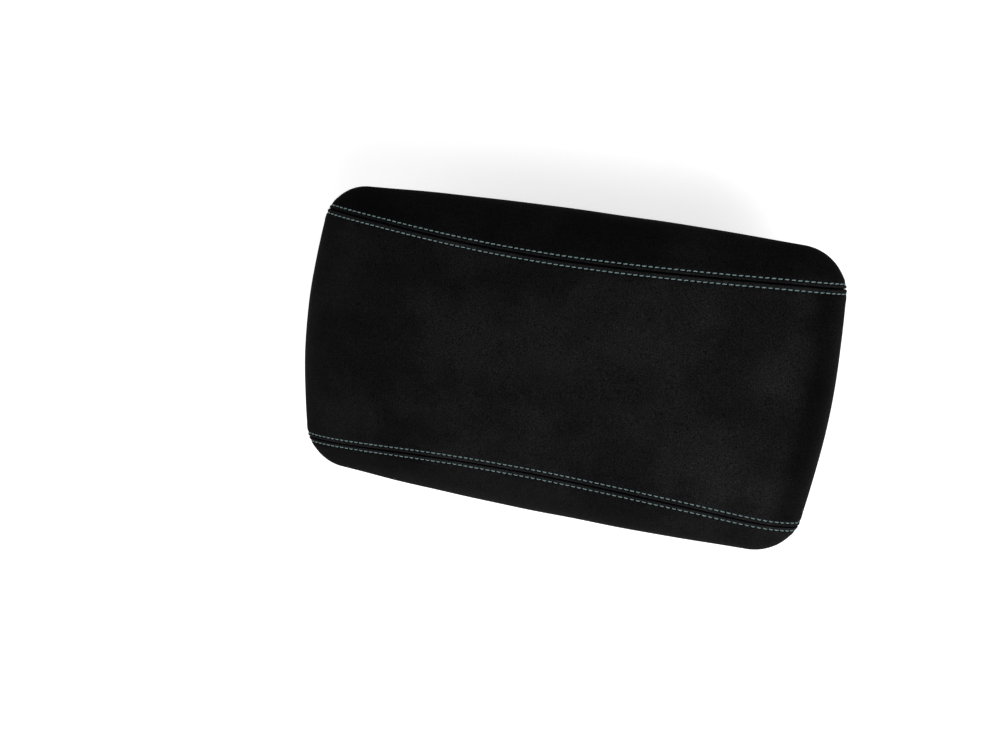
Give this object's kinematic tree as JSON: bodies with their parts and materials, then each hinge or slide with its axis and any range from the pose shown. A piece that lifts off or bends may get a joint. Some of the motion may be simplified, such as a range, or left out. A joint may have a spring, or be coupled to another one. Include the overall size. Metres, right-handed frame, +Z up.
{
  "type": "passenger armrest",
  "caption": "Padded armrest lid for a car's centre console: crowned suede pad with two twin-stitched seams, rear hinge and front release latch.",
  "frame": {"origin": "centre of the four fixing holes of the rear hinge, on the face that meets the console", "axes": "+X across the lid to its right-hand side seen from the rear seat, -Y towards the front of the car, +Z up, with the lid closed"},
  "size_m": [0.197, 0.34, 0.1001],
  "materials": {
    "suede": "brushed microfibre nap",
    "thread": "matt twisted thread",
    "foam": "open cell foam",
    "moulding": "fine grain",
    "paddle_plastic": "satin",
    "bush_plastic": "smooth",
    "coated_steel": "black electrocoat",
    "zinc_steel": "zinc plated",
    "bright_steel": "ground",
    "spring_steel": "drawn wire",
    "rubber": "matt"
  },
  "bodies": {
    "base": {"hinge_base": "coated_steel", "hinge_bush_right": "bush_plastic", "hinge_bush_left": "bush_plastic", "hinge_spring": "spring_steel"},
    "lid": {"cover_centre_panel": "suede", "cover_right_panel": "suede", "cover_left_panel": "suede", "topstitching_right": "thread", "topstitching_left": "thread", "foam_pad": "foam", "carrier_shell": "moulding", "inner_liner": "moulding", "liner_screws": "zinc_steel", "bump_stops": "rubber", "hinge_lid_leaf": "coated_steel", "hinge_leaf_screws": "zinc_steel", "hinge_pin": "bright_steel", "hinge_pin_clip": "spring_steel", "latch_housing": "moulding", "latch_screws": "zinc_steel", "latch_pin": "bright_steel", "latch_spring": "spring_steel"},
    "release": {"latch_paddle": "paddle_plastic"}
  },
  "joints": [
    {"name": "lid_hinge", "type": "hinge", "parent": "base", "child": "lid", "pos_m": [0, 0.008, 0.028], "axis": [-1, 0, 0], "range_deg": [0, 95], "deforming": ["hinge_spring"]},
    {"name": "latch_pivot", "type": "hinge", "parent": "lid", "child": "release", "pos_m": [0, -0.283, 0.0275], "axis": [-1, 0, 0], "range_deg": [0, 12], "stiffness_Nm_per_rad": 0.05, "springref_deg": -20.05, "deforming": ["latch_spring"]}
  ]
}
